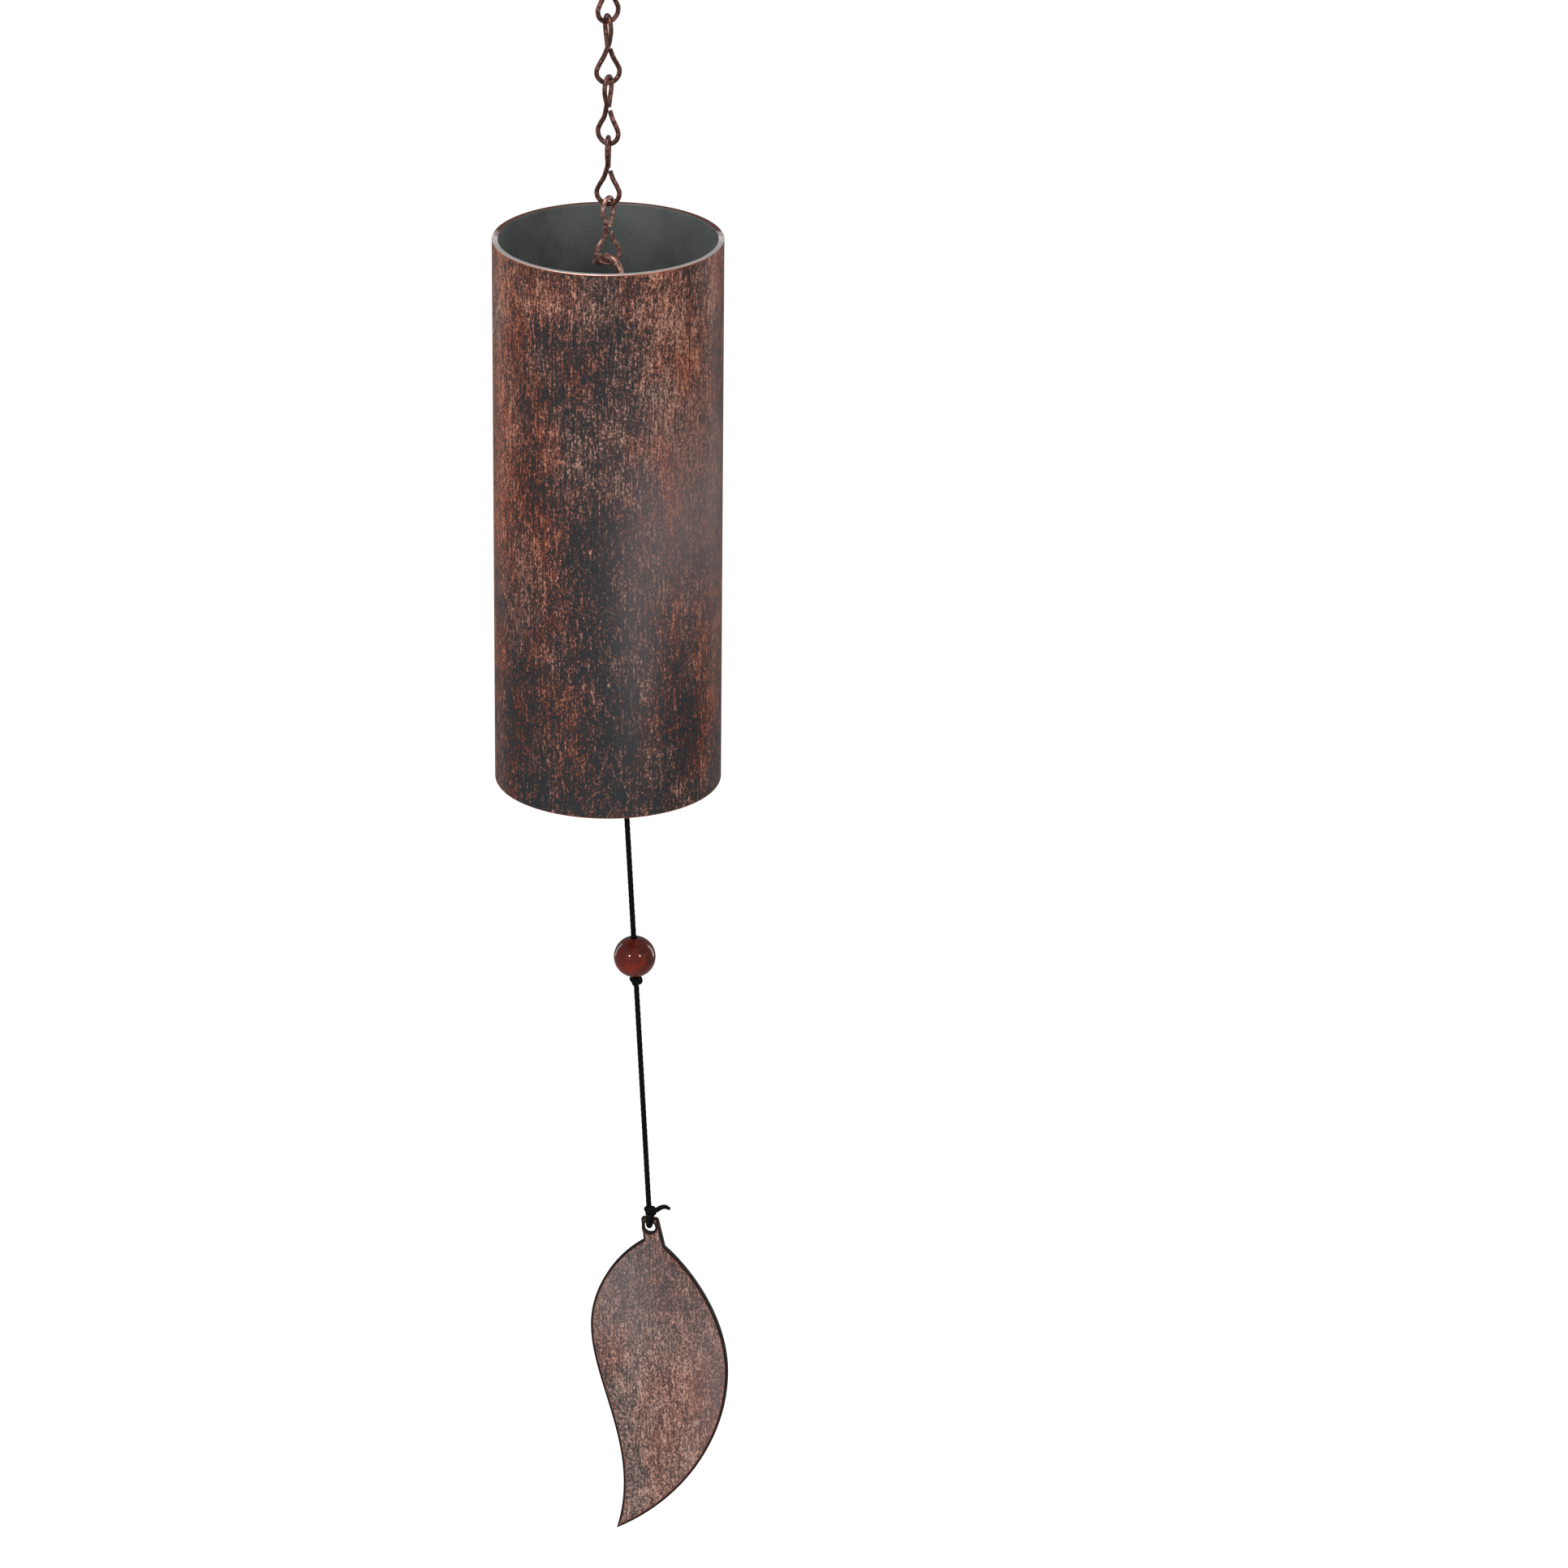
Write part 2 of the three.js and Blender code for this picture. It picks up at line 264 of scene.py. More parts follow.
def antique_copper(name, cool, warm, rub=1.0, grain=1.6, cloud=0.36, zone=0.0, side=0.0, bare_and_shade=(), haze_and_sheen_places=()):
    """Steel with a charcoal coat and copper wiped over it while wet, under a satin lacquer: short upright rub
    marks and specks of copper, thick in some patches and thin in others, dusty here and orange there.

    cool and warm run from the plain coat to the thickest copper; rub, grain and cloud are the shares of the
    marks, the specks and the patches; zone moves the whole to copper, and side turns the left and the right
    to the warm shades. Each darker place has a middle across and up, a reach across and up, in metres, and how
    much copper it lacks; some of these stand for painted shade. Each grey place has the same, and how much grey
    is mixed in there; on the tube the grey places are a painted sheen.
    """
    material, tree, shader, spot = new_material(name)
    patches = noise(tree, spot, 26, stretch=1.6, detail=2, distortion=0.5)
    clouds = noise(tree, spot, 7, stretch=1.5, detail=4, distortion=0.8, offset=0.31, crisp=0.6)
    strokes = noise(tree, spot, 0.65, stretch=9, detail=3, distortion=0.5, offset=0.17, crisp=0.6)
    specks = noise(tree, spot, 0.6, stretch=1.6, detail=3, distortion=0.8, offset=0.53, crisp=0.6)
    wear = zone + 0.5 - (2 * cloud + rub + grain) / 2
    for share, marks in ((cloud, patches), (cloud, clouds), (rub, strokes), (grain, specks)):
        wear = calculate(tree, "MULTIPLY_ADD", marks, share, wear)
    # Each place given has less copper and so is darker; some of them stand for painted shade.
    for *where, lack in bare_and_shade:
        wear = calculate(tree, "MULTIPLY_ADD", round_place(tree, spot, *where), -lack, wear)
    across = add(tree, "ShaderNodeSeparateXYZ", {"Vector": spot}).outputs["X"]
    aside = calculate(tree, "MULTIPLY", calculate(tree, "ABSOLUTE", across), side / 0.038)
    drift = noise(tree, spot, 18, stretch=2, detail=3, distortion=0.6, offset=0.83)
    warmth = calculate(tree, "MULTIPLY_ADD", drift, 3.0, calculate(tree, "ADD", aside, -1.1 - side / 2), clamp=True)
    places = (0.32, 0.48, 0.62, 0.86)
    shades = [ramp(tree, wear, *[(at, linear(code)) for at, code in zip(places, codes)]) for codes in (cool, warm)]
    colour = add(tree, "ShaderNodeMix", {0: warmth, 6: shades[0], 7: shades[1]}, data_type="RGBA").outputs[2]
    # Grey mixed in at each place given; on the tube these places are a painted sheen.
    for *where, amount in haze_and_sheen_places:
        haze_and_sheen = calculate(tree, "MULTIPLY", round_place(tree, spot, *where), amount)
        grey = linear(colours().haze_and_sheen)
        colour = add(tree, "ShaderNodeMix", {0: haze_and_sheen, 6: colour, 7: grey}, data_type="RGBA").outputs[2]
    tree.links.new(colour, shader.inputs["Base Color"])
    tree.links.new(calculate(tree, "MULTIPLY", wear, 0.4, clamp=True), shader.inputs["Metallic"])
    shader.inputs["Specular IOR Level"].default_value = 0.35
    tree.links.new(calculate(tree, "MULTIPLY_ADD", specks, 0.2, 0.3), shader.inputs["Roughness"])
    relief = calculate(tree, "ADD", specks, strokes)
    tree.links.new(bump(tree, relief, 0.06, 0.45), shader.inputs["Normal"])
    return material


def plain_metal(name, code, roughness, metallic):
    """Metal with fine rub marks that change its colour and gloss a little."""
    material, tree, shader, spot = new_material(name)
    marks = noise(tree, spot, 0.8, stretch=6.0, detail=3)
    base = linear(code)
    darker = (*[0.6 * v for v in base[:3]], 1.0)
    lighter = (*[min(1.0, 1.35 * v) for v in base[:3]], 1.0)
    tree.links.new(ramp(tree, marks, (0.3, darker), (0.5, base), (0.7, lighter)), shader.inputs["Base Color"])
    shader.inputs["Metallic"].default_value = metallic
    tree.links.new(calculate(tree, "MULTIPLY_ADD", marks, 0.25, roughness - 0.12), shader.inputs["Roughness"])
    tree.links.new(bump(tree, marks, 0.03, 0.4), shader.inputs["Normal"])
    return material


def rim_with_painted_highlight(name, code, toward):
    """The tube's cut end: painted red-brown with the rest, and a painted highlight of the given colour on the side
    that toward points to.
    """
    material, tree, shader, spot = new_material(name)
    marks = noise(tree, spot, 1.4, detail=3)
    # Brighter towards the side that toward points at: a painted highlight on the front of the rims.
    facing = add(tree, "ShaderNodeVectorMath", {0: spot, 1: toward}, operation="DOT_PRODUCT").outputs["Value"]
    painted_highlight = calculate(tree, "MULTIPLY_ADD", marks, 1.6, calculate(tree, "ADD", facing, -0.2), clamp=True)
    paint, metal = linear(colours().umber), linear(code)
    tree.links.new(ramp(tree, painted_highlight, (0.15, paint), (0.6, metal)), shader.inputs["Base Color"])
    tree.links.new(calculate(tree, "MULTIPLY", painted_highlight, 0.85), shader.inputs["Metallic"])
    tree.links.new(calculate(tree, "MULTIPLY_ADD", marks, 0.25, 0.3), shader.inputs["Roughness"])
    tree.links.new(bump(tree, marks, 0.04, 0.4), shader.inputs["Normal"])
    return material


def wire_copper(name, dark="#2c201d", brown="#5a3b34", bright="#a26a58"):
    """Steel wire with a dark antique copper plate, mottled brighter here and there."""
    material, tree, shader, spot = new_material(name)
    marks = noise(tree, spot, 1.2, detail=3)
    fine = noise(tree, spot, 0.35, detail=2, offset=0.4)
    mixed = calculate(tree, "MULTIPLY_ADD", marks, 0.6, calculate(tree, "MULTIPLY", fine, 0.4))
    colour = ramp(
        tree,
        mixed,
        (0.36, linear(dark)),
        (0.5, linear(brown)),
        (0.64, linear(bright)),
    )
    tree.links.new(colour, shader.inputs["Base Color"])
    shader.inputs["Metallic"].default_value = 0.55
    tree.links.new(calculate(tree, "MULTIPLY_ADD", fine, 0.25, 0.2), shader.inputs["Roughness"])
    tree.links.new(bump(tree, fine, 0.03, 0.4), shader.inputs["Normal"])
    return material


def inside_paint():
    """Matte charcoal primer inside the tube, sprayed thin, with a faint grain."""
    material, tree, shader, spot = new_material("inside primer")
    grain = noise(tree, spot, 0.7, detail=3)
    cloud = noise(tree, spot, 22, detail=2)
    base = linear(colours().inside)
    darker = (*[0.72 * v for v in base[:3]], 1.0)
    lighter = (*[1.25 * v for v in base[:3]], 1.0)
    mixed = calculate(tree, "MULTIPLY_ADD", grain, 0.45, calculate(tree, "MULTIPLY", cloud, 0.55))
    tree.links.new(ramp(tree, mixed, (0.35, darker), (0.65, lighter)), shader.inputs["Base Color"])
    shader.inputs["Roughness"].default_value = 0.62
    tree.links.new(bump(tree, grain, 0.05, 0.5), shader.inputs["Normal"])
    return material


def waxed_cord():
    """Black waxed cotton cord: dull, with fibres that catch a little light."""
    material, tree, shader, spot = new_material("waxed cotton cord")
    fibres = noise(tree, spot, 0.25, stretch=3, detail=2)
    base = linear(colours().cord)
    lighter = (*[3 * v for v in base[:3]], 1.0)
    tree.links.new(ramp(tree, fibres, (0.4, base), (0.75, lighter)), shader.inputs["Base Color"])
    shader.inputs["Roughness"].default_value = 0.62
    shader.inputs["Specular IOR Level"].default_value = 0.15
    tree.links.new(bump(tree, fibres, 0.08, 0.6), shader.inputs["Normal"])
    return material


def turned_wood():
    """Stained beech, turned on its end grain: growth rings on the flats, fine lines round the side."""
    material, tree, shader, spot = new_material("stained beech")
    low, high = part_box("striker")
    centre = (low + high) / 2
    moved = add(tree, "ShaderNodeMapping", {"Vector": spot, "Location": (-centre.x - 0.006, -centre.y, 0.0)})
    rings = add(
        tree,
        "ShaderNodeTexWave",
        {"Vector": moved.outputs["Vector"], "Scale": 130.0, "Distortion": 2.5, "Detail": 2.0, "Detail Scale": 40.0},
        wave_type="RINGS",
        rings_direction="Z",
    )
    pores = noise(tree, spot, 0.5, stretch=8, detail=2)
    base = linear(colours().wood)
    darker = (*[0.55 * v for v in base[:3]], 1.0)
    mixed = calculate(tree, "MULTIPLY_ADD", rings.outputs["Fac"], 0.55, calculate(tree, "MULTIPLY", pores, 0.45))
    tree.links.new(ramp(tree, mixed, (0.2, darker), (0.75, base)), shader.inputs["Base Color"])
    shader.inputs["Roughness"].default_value = 0.45
    tree.links.new(bump(tree, pores, 0.06, 0.4), shader.inputs["Normal"])
    return material


def bead_glaze():
    """Red-brown glaze, thick and glassy, with darker clouds in it."""
    material, tree, shader, spot = new_material("red-brown glaze")
    clouds = noise(tree, spot, 5, detail=3, distortion=1.0)
    base = linear(colours().bead)
    darker = (*[0.45 * v for v in base[:3]], 1.0)
    redder = (base[0] * 1.7, base[1] * 1.1, base[2] * 0.8, 1.0)
    colour = ramp(tree, clouds, (0.3, darker), (0.5, base), (0.7, redder))
    tree.links.new(colour, shader.inputs["Base Color"])
    shader.inputs["Roughness"].default_value = 0.12
    shader.inputs["IOR"].default_value = 1.55
    shader.inputs["Coat Weight"].default_value = 0.5
    shader.inputs["Coat Roughness"].default_value = 0.04
    tree.links.new(bump(tree, noise(tree, spot, 3, detail=1), 0.08, 0.25), shader.inputs["Normal"])
    return material


# ---------------------------------------------------------------------------------------------------
# Making pieces


def finished(name, mesh, materials, body, nodes):
    """Puts a mesh in the scene as a piece that stands for CAD nodes and moves with a body."""
    mesh.name = name
    made = bpy.data.objects.new(name, mesh)
    bpy.context.scene.collection.objects.link(made)
    for material in materials:
        made.data.materials.append(material)
    for face in made.data.polygons:
        face.use_smooth = True
    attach(made, body)
    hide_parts(*nodes)
    return made


def to_mesh(bm, name):
    mesh = bpy.data.meshes.new(name)
    bm.to_mesh(mesh)
    bm.free()
    return mesh


def rod(name, points, diameter, closed=False, radii=None):
    """A round rod along a smooth curve, with its cut ends broken by a small rounding."""
    end_round = 0.3 * diameter
    data = bpy.data.curves.new(name, "CURVE")
    data.dimensions = "3D"
    data.bevel_depth = diameter / 2
    data.bevel_resolution = 4
    data.resolution_u = 8
    data.use_fill_caps = not closed
    spline = data.splines.new("BEZIER")
    spline.bezier_points.add(len(points) - 1)
    spline.use_cyclic_u = closed
    for i, (knot, point) in enumerate(zip(spline.bezier_points, points)):
        knot.co = point
        knot.handle_left_type = knot.handle_right_type = "AUTO"
        knot.radius = radii[i] if radii else 1.0
    holder = bpy.data.objects.new(name, data)
    bpy.context.scene.collection.objects.link(holder)
    bpy.context.view_layer.update()
    mesh = bpy.data.meshes.new_from_object(holder.evaluated_get(bpy.context.evaluated_depsgraph_get()))
    bpy.data.objects.remove(holder)
    bpy.data.curves.remove(data)
    bm = bmesh.new()
    bm.from_mesh(mesh)
    bpy.data.meshes.remove(mesh)
    bmesh.ops.remove_doubles(bm, verts=bm.verts, dist=1e-6)
    caps = [face for face in bm.faces if len(face.verts) > 4]
    rims = [edge for face in caps for edge in face.edges]
    if rims:
        bmesh.ops.bevel(
            bm, geom=rims, offset=end_round, segments=3, profile=0.5, affect="EDGES", material=-1
        )
    bmesh.ops.recalc_face_normals(bm, faces=bm.faces)
    return bm


def joined(name, parts):
    """One mesh from several bmeshes."""
    whole = bmesh.new()
    for part in parts:
        mesh = to_mesh(part, name)
        whole.from_mesh(mesh)
        bpy.data.meshes.remove(mesh)
    return to_mesh(whole, name)


def polar(turn, reach, height):
    return Vector((math.cos(turn) * reach, math.sin(turn) * reach, height))


def arc(turn, centre, radius, start, end, count):
    """Points along an arc in the upright plane at a turn about the vertical; angles in radians."""
    angles = [start + (end - start) * i / count for i in range(count + 1)]
    return [polar(turn, math.cos(a) * radius, centre + math.sin(a) * radius) for a in angles]


def spun(profile, steps):
    """A closed outline of corners in the XZ plane, each with its own rounding, spun round a vertical axis."""
    bm = bmesh.new()
    corners = [bm.verts.new((radius, 0, height)) for radius, height, _ in profile]
    bm.faces.new(corners)
    for vert, (_, _, rounding) in zip(corners, profile):
        if rounding:
            bmesh.ops.bevel(
                bm, geom=[vert], offset=rounding, segments=4, profile=0.5, affect="VERTICES", material=-1
            )
    face = bm.faces[:][0]
    bmesh.ops.delete(bm, geom=[face], context="FACES_ONLY")
    bmesh.ops.spin(
        bm,
        geom=bm.verts[:] + bm.edges[:],
        cent=(0, 0, 0),
        axis=(0, 0, 1),
        angle=2 * math.pi,
        steps=steps,
        use_merge=True,
    )
    bmesh.ops.remove_doubles(bm, verts=bm.verts, dist=1e-7)
    bmesh.ops.recalc_face_normals(bm, faces=bm.faces)
    return bm


SLANT_UP = Vector(JOINTS["bead_slide"]["axis"]).normalized()
SLANT = Vector((0, 0, 1)).rotation_difference(SLANT_UP).to_matrix().to_4x4()


def on_slant(point):
    """Moves what was made round the origin to a point on the slanting cord, in line with it."""
    return Matrix.Translation(point) @ SLANT


def twisted_cord(name, top, bottom):
    """Three-ply cord, laid up with a twist, from one point to another."""
    plies, sides, groove, lay = 3, 24, 0.1, 7 * MM
    radius, length = sizes().cord / 2 * (1 + groove / 2), (top - bottom).length
    steps = round(length / (0.5 * MM))
    bm = bmesh.new()
    ring = bmesh.ops.create_circle(bm, cap_ends=False, segments=sides, radius=radius)["verts"]
    for vert in ring:
        angle = math.atan2(vert.co.y, vert.co.x)
        vert.co *= 1 - groove * (1 - abs(math.sin(plies * angle / 2)))
    edges = bm.edges[:]
    bmesh.ops.contextual_create(bm, geom=edges)
    turn = Matrix.Rotation(2 * math.pi * length / steps / lay, 4, "Z")
    for _ in range(steps):
        grown = bmesh.ops.extrude_edge_only(bm, edges=edges)["geom"]
        verts = [g for g in grown if isinstance(g, bmesh.types.BMVert)]
        edges = [g for g in grown if isinstance(g, bmesh.types.BMEdge)]
        bmesh.ops.transform(bm, matrix=Matrix.Translation((0, 0, -length / steps)) @ turn, verts=verts)
    bmesh.ops.contextual_create(bm, geom=edges)
    bmesh.ops.recalc_face_normals(bm, faces=bm.faces)
    down = (bottom - top).normalized()
    bmesh.ops.transform(bm, matrix=on_slant(top), verts=bm.verts)
    path = [top + down * length * i / steps for i in range(steps + 1)]
    return bm, path


def tight_knot(width, height, depth=None):
    """A pulled-tight overhand knot round the origin: three bights that wrap over one another."""
    strand, count = sizes().cord, 24
    across = (width - strand) / 2
    deep = ((depth or width) - strand) / 2
    along = (height - strand) / 2
    points = []
    for i in range(count):
        t = 2 * math.pi * i / count
        x = (math.sin(t) + 2 * math.sin(2 * t)) / 3
        y = (math.cos(t) - 2 * math.cos(2 * t)) / 3
        points.append(Vector((x * across, y * deep, -math.sin(3 * t) * along)))
    return rod("knot", points, strand, closed=True)


# ---------------------------------------------------------------------------------------------------
# Operators


class CHIME_OT_camera(bpy.types.Operator):
    """Sets up the camera, which looks down into the tube's mouth"""

    bl_idname = "chime.camera"
    bl_label = "Camera"

    def execute(self, context):
        data = bpy.data.cameras.new("camera")
        data.sensor_width = 36
        data.lens = CAMERA_LENS
        data.shift_x = CAMERA_SHIFT
        camera = bpy.data.objects.new("camera", data)
        camera.location = (0, -CAMERA_BACK, CAMERA_UP)
        camera.rotation_euler = (math.pi / 2 - CAMERA_TILT, 0, 0)
        context.scene.collection.objects.link(camera)
        context.scene.camera = camera
        return {"FINISHED"}


class CHIME_OT_stage(bpy.types.Operator):
    """Lays a pale floor far below the chime and sets soft lights round it"""

    bl_idname = "chime.stage"
    bl_label = "Stage"

    def execute(self, context):
        bm = bmesh.new()
        bmesh.ops.create_circle(bm, cap_ends=True, segments=96, radius=FLOOR_RADIUS)
        bmesh.ops.translate(bm, vec=(0, 0, FLOOR_HEIGHT), verts=bm.verts)
        floor = bpy.data.objects.new("floor", to_mesh(bm, "floor"))
        context.scene.collection.objects.link(floor)
        material, tree, shader, spot = new_material("white paper")
        fibres = noise(tree, spot, 40, detail=2)
        pale = linear("#f6f5f3")
        tree.links.new(
            ramp(tree, fibres, (0.3, pale), (0.7, (*[0.985 * v for v in pale[:3]], 1.0))),
            shader.inputs["Base Color"],
        )
        shader.inputs["Roughness"].default_value = 0.9
        shader.inputs["Emission Color"].default_value = linear("#ffffff")
        shader.inputs["Emission Strength"].default_value = 0.8
        floor.data.materials.append(material)
        floor.visible_glossy = False
        floor.visible_diffuse = False

        world = bpy.data.worlds.new("studio")
        context.scene.world = world
        world.use_nodes = True
        tree = world.node_tree
        sky = tree.nodes["Background"]
        sky.inputs["Color"].default_value = linear("#ffffff")
        seen = add(tree, "ShaderNodeLightPath").outputs["Is Camera Ray"]
        tree.links.new(calculate(tree, "MULTIPLY_ADD", seen, 0.9, 0.18), sky.inputs["Strength"])

        # Each light's name, place, what it points at, width and height, all in metres, and watts. The front
        # pair and the one below give no reflections, so that they don't whiten the lacquer; the two small
        # ones make the bead's pair of highlights.
        for name, spot_at, aim, size, power in (
            ("front left", (-2.0, -2.0, 0.7), (0, 0, -0.35), (1.8, 2.2), 50),
            ("front right", (2.2, -1.8, 0.7), (0, 0, -0.35), (1.8, 2.2), 62),
            ("back left", (-2.0, 1.7, -0.1), (0, 0, -0.3), (0.4, 2.0), 5),
            ("back right", (2.2, 1.5, -0.1), (0, 0, -0.3), (0.4, 2.0), 9),
            ("above", (-0.5, -0.4, 2.0), (0, 0, -0.2), (1.0, 1.0), 42),
            ("below", (-0.25, -0.4, -1.25), (0, 0, -0.4), (1.2, 0.9), 15),
            ("catch left", (-1.2, -1.95, 0.6), (0, 0, -0.38), (0.16, 0.16), 6),
            ("catch right", (1.2, -1.95, 0.6), (0, 0, -0.38), (0.16, 0.16), 6),
        ):
            data = bpy.data.lights.new(name, "AREA")
            data.shape = "RECTANGLE"
            data.size, data.size_y = size
            data.energy = power
            lamp = bpy.data.objects.new(name, data)
            lamp.location = spot_at
            lamp.visible_glossy = name not in ("front left", "front right", "below")
            lamp.rotation_euler = (Vector(aim) - Vector(spot_at)).to_track_quat("-Z", "Y").to_euler()
            context.scene.collection.objects.link(lamp)
        context.scene.view_settings.view_transform = "Standard"
        return {"FINISHED"}


class CHIME_OT_cords(bpy.types.Operator):
    """Makes the three lengths of cord on the slant"""

    bl_idname = "chime.cords"
    bl_label = "Cords"

    def execute(self, context):
        material = waxed_cord()
        # The upper cord's lower end is a little short, to stay clear of the knot under the bead as that swings.
        for node, body, spare in (
            ("striker_cord", "striker", 0),
            ("pull_cord_upper", "pull_cord", 0.5 * MM),
            ("pull_cord_lower", "lower_cord", 0),
        ):
            low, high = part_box(node)
            lean = sizes().cord / 2 * SLANT_UP.x
            rise = SLANT_UP * ((high.z - low.z + 2 * lean) / SLANT_UP.z)
            half = rise / 2
            top, bottom = (low + high) / 2 + half, (low + high) / 2 - half + SLANT_UP * spare
            bm, path = twisted_cord(node, top, bottom)
            made = finished(f"{node}_laid", to_mesh(bm, node), [material], body, [node])
        return {"FINISHED"}


class CHIME_OT_knots(bpy.types.Operator):
    """Ties the knots under the striker and under the bead"""

    bl_idname = "chime.knots"
    bl_label = "Knots"

    def execute(self, context):
        material = waxed_cord()
        for node, body, width, height in (
            ("striker_knot", "striker", 5.2, 4.4),
            ("bead_knot", "lower_cord", 4.8, 3.2),
        ):
            bm = tight_knot(width * MM, height * MM)
            bmesh.ops.transform(bm, matrix=on_slant(middle(node)), verts=bm.verts)
            finished(f"{node}_tied", to_mesh(bm, node), [material], body, [node])
        return {"FINISHED"}


class CHIME_OT_hitch(bpy.types.Operator):
    """Ties the cord to the crossbar with two turns and a knot"""

    bl_idname = "chime.hitch"
    bl_label = "Hitch on the crossbar"

    def execute(self, context):
        strand = sizes().cord
        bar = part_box("crossbar")
        along = Vector(JOINTS["hitch_swing"]["axis"]).normalized()
        side = Vector((0, 0, 1)).cross(along)
        start = place("hitch_swing")
        radius = (bar[1].z - bar[0].z) / 2 + GAP + strand / 2
        turns, count = 2, 32
        hang = Vector((0, 0, radius + 1.2 * MM))  # from the ends of the turns up to the bar's middle
        apart = along * strand * 0.55
        points = [start - hang - apart]
        for i in range(count + 1):
            angle = -math.pi / 2 + 2 * math.pi * turns * (i / count)
            slide = along * strand * 1.08 * (i / count - 0.5) * turns / 1.6
            points.append(
                start + slide + (side * math.cos(angle) + Vector((0, 0, 1)) * math.sin(angle)) * radius
            )
        points.append(start - hang + apart)
        turns_mesh = rod("turns", points, strand)
        knot = tight_knot(5.2 * MM, 5.0 * MM)
        down = place("striker_swing")
        bmesh.ops.transform(knot, matrix=on_slant(down), verts=knot.verts)
        tail_points = [
            down + along * 0.8 * MM,
            down + along * 2.6 * MM + Vector((0, 0, -0.6 * MM)),
            down + along * 3.6 * MM + Vector((0, 0, -2.4 * MM)),
            down + along * 3.9 * MM + Vector((0, 0, -4.6 * MM)),
        ]
        tail = rod("tail", tail_points, 0.9 * strand)
        mesh = joined("hitch", [turns_mesh, knot, tail])
        finished("hitch_tied", mesh, [waxed_cord()], "cord_hitch", ["cord_hitch"])
        return {"FINISHED"}


def wires():
    """The plated wire, and a lighter copy of it: a painted highlight for the lowest link and the tube's hook."""
    return wire_copper("antique copper wire"), wire_copper("copper wire with painted highlight", "#4a3630", "#8a6257", "#d9b0a2")


class CHIME_OT_chain(bpy.types.Operator):
    """Bends the chain's links: figures of eight with a quarter turn or so between their loops"""

    bl_idname = "chime.chain"
    bl_label = "Chain"

    def loop(self, turn, side):
        s = sizes()
        radius = (s.link_width - s.link_wire) / 2
        centre = s.link_reach / 2 - radius
        beside = (s.link_wire + GAP) / 2
        return [
            polar(turn, -0.42 * radius, side * 0.36 * centre),
            polar(turn, -0.78 * radius, side * 0.68 * centre),
            *arc(turn, side * centre, radius, math.pi, math.pi - side * math.pi, 4),
            polar(turn, 0.78 * radius, side * 0.68 * centre),
            polar(turn, 0.44 * radius, side * 0.36 * centre),
            polar(turn, 0.75 * beside, beside if side > 0 else 0),
        ]

    def execute(self, context):
        plated, rubbed = wires()
        s = sizes()
        beside = (s.link_wire + GAP) / 2
        for i, (upper, lower) in enumerate(LINK_TURNS):
            node = f"chain_link_{i + 1}"
            up, down = math.radians(upper), math.radians(lower)
            waist = polar(up, -0.7 * beside, 0) + polar(down, -0.7 * beside, 0)
            points = [*reversed(self.loop(up, 1)), waist, *self.loop(down, -1)]
            bm = rod(node, points, s.link_wire)
            bmesh.ops.translate(bm, vec=(0, 0, middle(node).z), verts=bm.verts)
            # The lowest link gets the lighter copy of the wire, a painted highlight.
            material = rubbed if node == f"chain_link_{len(LINK_TURNS)}" else plated
            finished(f"{node}_bent", to_mesh(bm, node), [material], node, [node])
        return {"FINISHED"}


class CHIME_OT_hooks(bpy.types.Operator):
    """Bends the two S hooks: the one the chime hangs from and the one that holds the tube"""

    bl_idname = "chime.hooks"
    bl_label = "Hooks"

    def execute(self, context):
        plated, rubbed = wires()
        s = sizes()
        centre = s.hook_reach / 2 - s.hook_bow
        slope = math.asin(s.hook_bow / centre)
        half = math.pi / 2
        # The tube's hook gets the lighter copy of the wire, a painted highlight.
        for node, turn, material in (("hanging_hook", 12, plated), ("tube_hook", -44, rubbed)):
            at = math.radians(turn)
            points = [
                *arc(at, centre, s.hook_bow, half + s.hook_tip, -slope, 10),
                *arc(at, -centre, s.hook_bow, math.pi - slope, 3 * half + s.hook_tip, 10),
            ]
            bm = rod(node, points, s.hook_wire)
            bmesh.ops.translate(bm, vec=(0, 0, middle(node).z), verts=bm.verts)
            finished(f"{node}_bent", to_mesh(bm, node), [material], node, [node])
        return {"FINISHED"}


